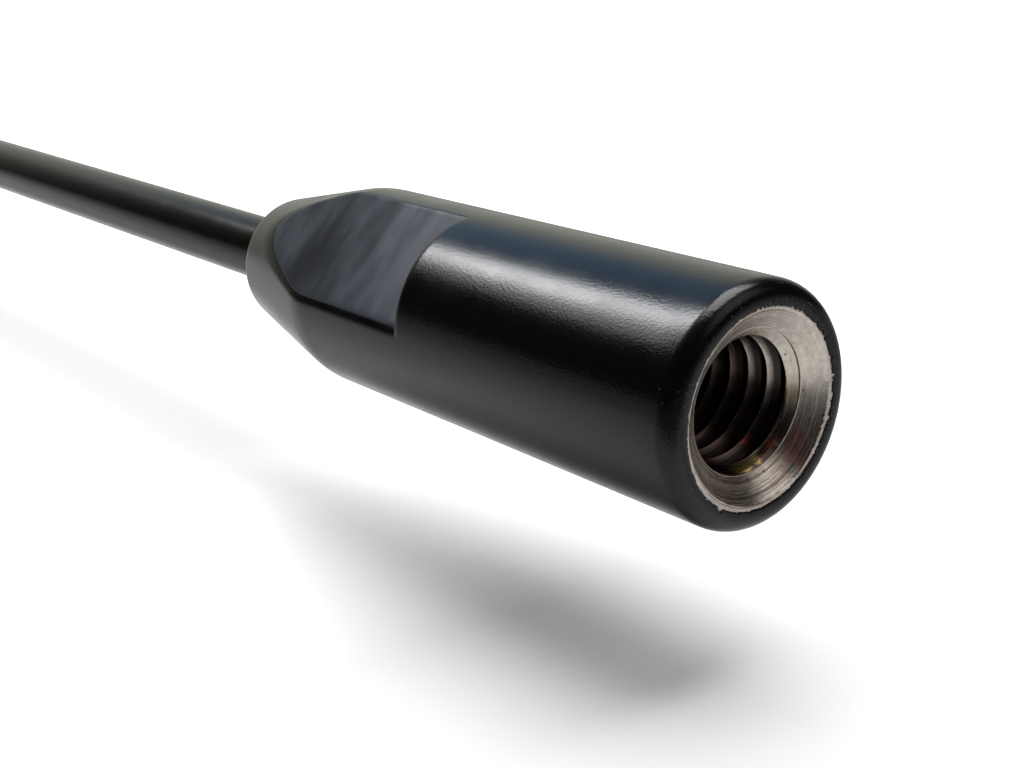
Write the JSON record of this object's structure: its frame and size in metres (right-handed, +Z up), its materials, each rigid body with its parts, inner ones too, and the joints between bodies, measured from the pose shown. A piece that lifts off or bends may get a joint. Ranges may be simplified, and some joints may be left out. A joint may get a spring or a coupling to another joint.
{
  "type": "car mast aerial",
  "caption": "Screw-on car mast aerial: black-coated turned ferrule with a tapped, countersunk mouth and milled wrench flats, a thin plain rod and a rounded tip cap.",
  "frame": {"origin": "on the aerial's axis, where the foot of the countersink meets the wall of the tapped hole", "axes": "+X along the axis, out of the tapped mouth, with the mast along -X; +Z up with the aerial lying level"},
  "size_m": [0.4, 0.008, 0.008],
  "materials": {
    "coated_steel": "semi-gloss black coat over turned steel, with bare steel in the countersink and the thread",
    "coated_rod": "satin black coat over a steel rod",
    "cap_plastic": "moulded matt black"
  },
  "bodies": {
    "root": {"ferrule": "coated_steel", "mast_rod": "coated_rod", "tip_cap": "cap_plastic"}
  },
  "joints": []
}
